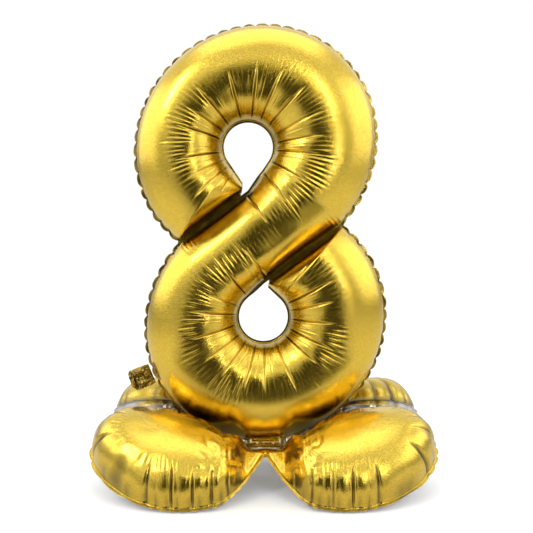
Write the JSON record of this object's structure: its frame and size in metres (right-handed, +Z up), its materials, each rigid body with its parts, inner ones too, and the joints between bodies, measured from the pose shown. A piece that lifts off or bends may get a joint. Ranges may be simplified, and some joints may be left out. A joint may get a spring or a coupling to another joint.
{
  "type": "foil number balloon",
  "caption": "Free-standing foil figure eight: a gold inflated S-shaped tube closed into two loops, held upright by two hinged pairs of inflated feet under it.",
  "frame": {"origin": "on the floor, under the middle of the outline seen from above", "axes": "+Z up, the front of the number faces -Y, +X to the number's right as seen from the front"},
  "size_m": [0.524, 0.3613, 0.7197],
  "materials": {
    "gold_film": "glossy metallised film",
    "silver_film": "bright metallised film",
    "valve_film": "clear film",
    "tape": "clear tape"
  },
  "bodies": {
    "number": {"number_front_film": "gold_film", "number_back_film": "gold_film", "number_valve_front_ply": "valve_film", "number_valve_back_ply": "valve_film", "link_strap": "gold_film"},
    "number_tail": {"number_valve_tail": "gold_film"},
    "front_feet": {"front_feet_upper_film": "gold_film", "front_feet_lower_film": "silver_film", "front_feet_valve_upper_ply": "valve_film", "front_feet_valve_lower_ply": "valve_film", "front_joint_pad": "tape"},
    "front_tail": {"front_feet_valve_tail": "silver_film"},
    "rear_feet": {"rear_feet_upper_film": "gold_film", "rear_feet_lower_film": "silver_film", "rear_feet_valve_upper_ply": "valve_film", "rear_feet_valve_lower_ply": "valve_film", "rear_joint_pad": "tape"},
    "rear_tail": {"rear_feet_valve_tail": "silver_film"}
  },
  "joints": [
    {"name": "front_feet_fold", "type": "hinge", "parent": "number", "child": "front_feet", "pos_m": [0, -0.03532, 0.0526], "axis": [1, 0, 0], "range_deg": [0, 60]},
    {"name": "rear_feet_fold", "type": "hinge", "parent": "number", "child": "rear_feet", "pos_m": [0, 0.03195, 0.0526], "axis": [-1, 0, 0], "range_deg": [0, 52]},
    {"name": "number_tail_flap", "type": "hinge", "parent": "number", "child": "number_tail", "pos_m": [-0.18093, 0, 0.16341], "axis": [0.3858, 0, -0.9226], "range_deg": [-60, 10]},
    {"name": "front_tail_flap", "type": "hinge", "parent": "front_feet", "child": "front_tail", "pos_m": [-0.158, -0.0034, 0.09421], "axis": [0.9844, -0.1551, -0.0825], "range_deg": [-2, 22]},
    {"name": "rear_tail_flap", "type": "hinge", "parent": "rear_feet", "child": "rear_tail", "pos_m": [-0.158, 0.15425, 0.00572], "axis": [0.952, 0.2445, -0.1842], "range_deg": [0, 45]}
  ]
}
